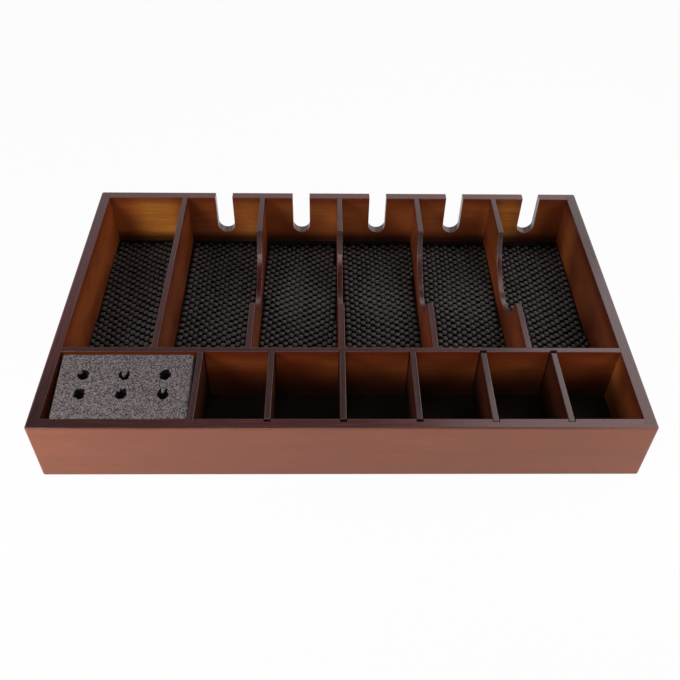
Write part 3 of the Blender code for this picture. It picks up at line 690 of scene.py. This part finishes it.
foam_low = np.array((-0.229, -0.1413, board_foot))
foam_high = np.array((-0.12035, -0.0724, 0.0588))
foam_edge = 0.0018
punch_radius, mouth_squash, tear, tear_waves = 0.0049, (1.06, 0.82), 0.032, np.arange(2, 9)
punch_columns = -0.1755 + np.array((-0.0333, 0.0, 0.0333))
punch_rows = -0.106 + np.array((-0.01025, 0.01025))
column_bounds = (foam_low[0], punch_columns[:2].mean(), punch_columns[1:].mean(), foam_high[0])
row_bounds = (foam_low[1], punch_rows.mean(), foam_high[1])
side_steps = 24
reach = np.r_[np.linspace(0, 1, 15)[:-1] ** 1.2 * 0.9, 0.9, 0.93, 0.955, 0.975, 0.99, 1.0]
hole_depths = np.array((0.0006, 0.0016, 0.004, 0.009, 0.018, 0.032, foam_high[2] - foam_low[2]))
hole_share, ripple_share, ripple_end = 0.98, 0.1, 0.04
chance = np.random.default_rng(11)


def outline_steps(x_bounds, y_bounds):
    """Points round a rectangle, from its near left corner to the right and on round, evenly spaced from
    each bound to the next, so that the edges of the cells and of the block share theirs."""
    share = np.arange(side_steps) / side_steps
    x, y = (np.concatenate([low + (high - low) * share for low, high in zip(bounds, bounds[1:])])
            for bounds in (x_bounds, y_bounds))
    x_back, y_back = np.r_[x[1:], x_bounds[-1]][::-1], np.r_[y[1:], y_bounds[-1]][::-1]
    return np.concatenate((np.stack((x, 0 * x + y_bounds[0]), 1), np.stack((0 * y + x_bounds[-1], y), 1),
                           np.stack((x_back, 0 * x + y_bounds[-1]), 1),
                           np.stack((0 * y + x_bounds[0], y_back), 1)))


def at_levels(rings, levels):
    """Rings of points in plan, lifted to one level or to one for each ring."""
    heights = np.broadcast_to(np.reshape(levels, (-1, 1, 1)), rings.shape[:2] + (1,))
    return np.concatenate((rings, heights), 2)


def foam_cell(x_bounds, y_bounds, hole):
    """One hole and the foam around it: rings that pass from the hole's ragged mouth to the cell's edge, and
    from there down the hole. Ring points are hole + (edge - hole) (m + (1 - m) reach), m being the mouth's
    radius over the edge's distance. Gives the points, and for each whether it lies down the hole."""
    spoke = outline_steps(x_bounds, y_bounds) - hole
    distance = np.linalg.norm(spoke * mouth_squash, axis=1)
    bearing = np.arctan2(spoke[:, 1], spoke[:, 0])
    phase = chance.uniform(0, 2 * math.pi, (2, len(tear_waves)))
    torn = 1 + np.sum(tear * np.cos(tear_waves * bearing[:, None] + phase[0]), 1)
    mouth = punch_radius * torn / distance
    top = at_levels(hole + spoke * (mouth + (1 - mouth) * reach[:, None])[..., None], foam_high[2])
    depth = hole_depths[:, None]
    ripple = 1 + ripple_share * np.cos(bearing * 5 + phase[1, 0] + depth * 600) * (depth < ripple_end)
    wall = at_levels(hole + spoke * (mouth * hole_share * ripple)[..., None], foam_high[2] - hole_depths)
    foot = at_levels(top[1:, :, :2], foam_low[2])
    sunk = np.zeros((len(foot) + len(wall) + len(top), side_steps * 4))
    sunk[len(foot):-len(top)] = 1
    return np.concatenate((foot[::-1], wall[::-1], top)), sunk


foam_places, foam_faces, foam_sunk, count = [], [], [], 0
for column in range(3):
    for row in range(2):
        cell, sunk = foam_cell(column_bounds[column:column + 2], row_bounds[row:row + 2],
                               np.array((punch_columns[column], punch_rows[row])))
        foam_faces += ring_quads(*sunk.shape, count)[1][:, [0, 3, 2, 1]].tolist()
        foam_places.append(cell.reshape(-1, 3))
        foam_sunk.append(sunk.ravel())
        count += sunk.size
side_levels = np.r_[foam_low[2], foam_low[2] + foam_edge * np.array((0.35, 0.7, 1.0)), 0.02, 0.035,
                    foam_high[2] - foam_edge * np.array((1.0, 0.7, 0.35)), foam_high[2]]
block_outline = outline_steps(column_bounds, row_bounds)
skirt = at_levels(np.broadcast_to(block_outline, (len(side_levels),) + block_outline.shape), side_levels)
foam_faces += ring_quads(*skirt.shape[:2], count)[1].tolist()

# The block's edges are rounded: what lies past its core is drawn in to the edge's radius from the core
foam_places = np.concatenate(foam_places + [skirt.reshape(-1, 3)])
core = np.clip(foam_places, foam_low + foam_edge, foam_high - foam_edge)
beyond = foam_places - core
reach_out = np.linalg.norm(beyond, axis=1, keepdims=True)
on_skin = np.max(np.abs(beyond), axis=1, keepdims=True) > 0.999 * foam_edge
foam_places = np.where(on_skin, core + beyond / np.maximum(reach_out, 1e-9) * foam_edge, foam_places)

# Its four corners lie a little out of square, and what is between them moves with them in proportion
share = (foam_places[:, :2] - foam_low[:2]) / (foam_high - foam_low)[:2]
corner_shifts = np.array((((0.0048, 0.0008), (0.0006, -0.0008)), ((0.0012, 0.0008), (-0.001, -0.0006))))
for_each = np.stack((1 - share, share), 2)
foam_places[:, :2] += np.einsum("pi,pj,ijk->pk", for_each[:, 0], for_each[:, 1], corner_shifts)

# A tongue is a thin oval lens on the hole's back edge: column, row, half width, half length, turned by
tongues = ((1, 1, 0.0024, 0.0066, 0.05), (2, 0, 0.0017, 0.0034, 0.1), (0, 1, 0.002, 0.003, -0.7),
           (1, 0, 0.0012, 0.0022, -0.3))
tongue_round, tongue_ring = np.meshgrid(np.arange(20) * math.pi / 10, (1.0, 1.0, 0.8, 0.4))
tongue_rise, tongue_slope = np.array((-0.002, -0.0004, -0.0001, 0.0001))[:, None], 0.16
tongue_right, tongue_swing, tongue_back = 0.0003, 0.0046, 0.0058
foam_sunk = np.concatenate(foam_sunk + [np.zeros(skirt[..., 0].size)])
for column, row, width, length, turned in tongues:
    across, along = width * tongue_ring * np.cos(tongue_round), length * tongue_ring * np.sin(tongue_round)
    cosine, sine = math.cos(turned), math.sin(turned)
    tongue = np.stack((punch_columns[column] + tongue_right + across * cosine + (along + tongue_swing) * sine,
                       punch_rows[row] - 0.0002 - across * sine + (along + tongue_back) * cosine,
                       foam_high[2] + tongue_rise + tongue_slope * np.minimum(along, 0)), 2)
    number, quads = ring_quads(*tongue.shape[:2], len(foam_places))
    foam_faces += quads.tolist() + [number[0, ::-1].tolist(), number[-1].tolist()]
    foam_places = np.concatenate((foam_places, tongue.reshape(-1, 3)))
    foam_sunk = np.r_[foam_sunk, np.zeros(number.size)]
foam_mesh = bpy.data.meshes.new("foam_block_dressed")
foam_mesh.from_pydata(foam_places.tolist(), [], foam_faces)
foam_mesh.attributes.new("sunk", "FLOAT", "POINT").data.foreach_set("value", foam_sunk)
bm = bmesh.new()
bm.from_mesh(foam_mesh)
bmesh.ops.remove_doubles(bm, verts=bm.verts, dist=1e-6)
bm.to_mesh(foam_mesh)
bm.free()
foam_mesh.shade_smooth()

foam_skin, foam_tree, foam_shader = new_finish("coarse_grey_foam", 0.95, 0.2)
foam_cells = add_node(foam_tree, "ShaderNodeTexVoronoi", Scale=1200.0,
                      Vector=add_node(foam_tree, "ShaderNodeTexCoord").outputs["Object"])
foam_lot = add_node(foam_tree, "ShaderNodeSeparateColor", _0=foam_cells.outputs["Color"]).outputs[0]
foam_wall = blend_values(foam_tree, 0.55, foam_lot, mottle(foam_tree, 900.0, 3.0, 0.65))
foam_tone = blend_tones(foam_tree, spread(foam_tree, foam_wall, 0.3, 0.78), (0.026, 0.0215, 0.0225),
                        (0.3, 0.25, 0.256))
# Down the holes the foam turns near black: painted shade
foam_hole_shade = add_node(foam_tree, "ShaderNodeAttribute", {"attribute_name": "sunk"}).outputs["Fac"]
foam_tone = blend_tones(foam_tree, foam_hole_shade, foam_tone, (0.006, 0.005, 0.005))
lay_on(foam_tree, foam_shader, foam_tone, foam_wall, 0.9, 0.0009)
foam_mesh.materials.append(foam_skin)
foam_block = add_piece("foam_block", foam_mesh, "foam_block")


# Studio: a white table under five soft boxes, and the camera where the photograph was taken from. Glossy
# rays see pale glows in the backdrop, which light nothing and only shine in the lacquer.

table_mesh = bpy.data.meshes.new("table")
table_half, table_top = 4, -0.0002
table_mesh.from_pydata([(x * table_half, y * table_half, table_top)
                        for x, y in ((-1, -1), (1, -1), (1, 1), (-1, 1))], [], [(0, 1, 2, 3)])
table = new_object("table", table_mesh)
table_white, white = 0.965, (1.0, 1.0, 1.0, 1.0)
white_table, table_tree, table_shader = new_finish("white_table", 0.9)
table_shader.inputs["Base Color"].default_value = (0.8, 0.8, 0.8, 1.0)
table_glow = add_node(table_tree, "ShaderNodeEmission", Color=white, Strength=1.0)
table_rays = add_node(table_tree, "ShaderNodeLightPath").outputs
table_seen = reckon(table_tree, "MULTIPLY", table_white,
                    reckon(table_tree, "MAXIMUM", table_rays["Is Camera Ray"], table_rays["Is Glossy Ray"]))
table_mix = add_node(table_tree, "ShaderNodeMixShader", _0=table_seen, _1=table_shader.outputs[0],
                     _2=table_glow.outputs[0])
table_tree.links.new(table_mix.outputs[0], table_tree.nodes["Material Output"].inputs["Surface"])
table_mesh.materials.append(white_table)

world = bpy.data.worlds.new("white_studio")
bpy.context.scene.world = world
world.use_nodes = True
world_tree = world.node_tree
world_light = world_tree.nodes["Background"]
world_light.inputs["Color"].default_value = white
world_light.inputs["Strength"].default_value = 0.02
world_way = add_node(world_tree, "ShaderNodeTexCoord").outputs["Generated"]
way_right, _, way_up = add_node(world_tree, "ShaderNodeSeparateXYZ", _0=world_way).outputs
world_rays = add_node(world_tree, "ShaderNodeLightPath").outputs


def glow(left, right, left_strength, right_strength, low, peak, high):
    """A glow in the backdrop: its strength at two places across the room, times a rise and a fall with
    height from nothing at the low one, through the peak, to nothing at the high one."""
    strength = spread(world_tree, way_right, left, right, left_strength, right_strength)
    upright = reckon(world_tree, "MULTIPLY", spread(world_tree, way_up, low, peak),
                     spread(world_tree, way_up, peak, high, 1.0, 0.0))
    return reckon(world_tree, "MULTIPLY", strength, upright)


backdrop = reckon(world_tree, "ADD", glow(-0.25, 0.25, 1.05, 1.9, -0.6, 0.54, 0.645),
                  glow(-0.4, 0.0, 0.36, 0.56, 0.3, 0.62, 0.92))
backdrop = reckon(world_tree, "ADD", backdrop, glow(0.03, 0.3, 0.0, 1.0, 0.8, 0.93, 1.6))
backdrop = blend_values(world_tree, world_rays["Is Camera Ray"], backdrop, table_white)
world_seen = add_node(world_tree, "ShaderNodeBackground", Color=white, Strength=backdrop)
seen_or_mirrored = reckon(world_tree, "MAXIMUM", world_rays["Is Camera Ray"], world_rays["Is Glossy Ray"])
world_mix = add_node(world_tree, "ShaderNodeMixShader", _0=seen_or_mirrored, _1=world_light.outputs[0],
                     _2=world_seen.outputs[0])
world_tree.links.new(world_mix.outputs[0], world_tree.nodes["World Output"].inputs["Surface"])

tray_middle = np.array((0.0, 0.0, 0.03))


def facing(bearing, rise, roll=0.0):
    """The directions of X, Y and Z of a lamp or camera. It stands at a bearing from straight in front to the
    right, looks back along it and down by the angle of its rise, and is rolled about its look."""
    back = np.array((math.sin(bearing) * math.cos(rise), -math.cos(bearing) * math.cos(rise), math.sin(rise)))
    right = np.array((math.cos(bearing), math.sin(bearing), 0.0))
    up = np.cross(back, right)
    return math.cos(roll) * right + math.sin(roll) * up, math.cos(roll) * up - math.sin(roll) * right, back


def stand(thing, axes, place):
    """Stands an object at a place, its own X, Y and Z along three directions."""
    rows = np.stack(axes, 1).tolist()
    thing.matrix_world = Matrix([(*row, at) for row, at in zip(rows, place)] + [(0, 0, 0, 1)])


def soft_box(name, bearing, rise, distance, size, watts):
    """A square soft light that faces the tray's middle, with its bearing and its rise in degrees."""
    lamp = bpy.data.lights.new(name, "AREA")
    lamp.size, lamp.energy = size, watts
    axes = facing(math.radians(bearing), math.radians(rise))
    stand(new_object(name, lamp), axes, tray_middle + distance * axes[2])


soft_box("soft_box_left", -61, 35, 0.75, 0.3, 2.05)
soft_box("soft_box_left_low", -54, 24, 0.45, 0.18, 0.27)
soft_box("soft_box_front", -8, 48, 0.75, 0.3, 1.15)
soft_box("soft_box_right_low", 60, 25, 0.45, 0.18, 0.38)
soft_box("soft_box_behind", 117, 49, 0.75, 0.5, 1.62)

camera_place = (-0.01399, -0.52905, 0.54001)
camera_bearing, camera_rise, camera_roll = -0.02586, 0.79465, 0.0203
lens = bpy.data.cameras.new("camera")
lens.lens, lens.sensor_width = 42.665, 36.0
lens.clip_start = 0.01
camera = new_object("camera", lens)
stand(camera, facing(camera_bearing, camera_rise, camera_roll), camera_place)
bpy.context.scene.camera = camera
bpy.context.scene.view_settings.view_transform = "Standard"
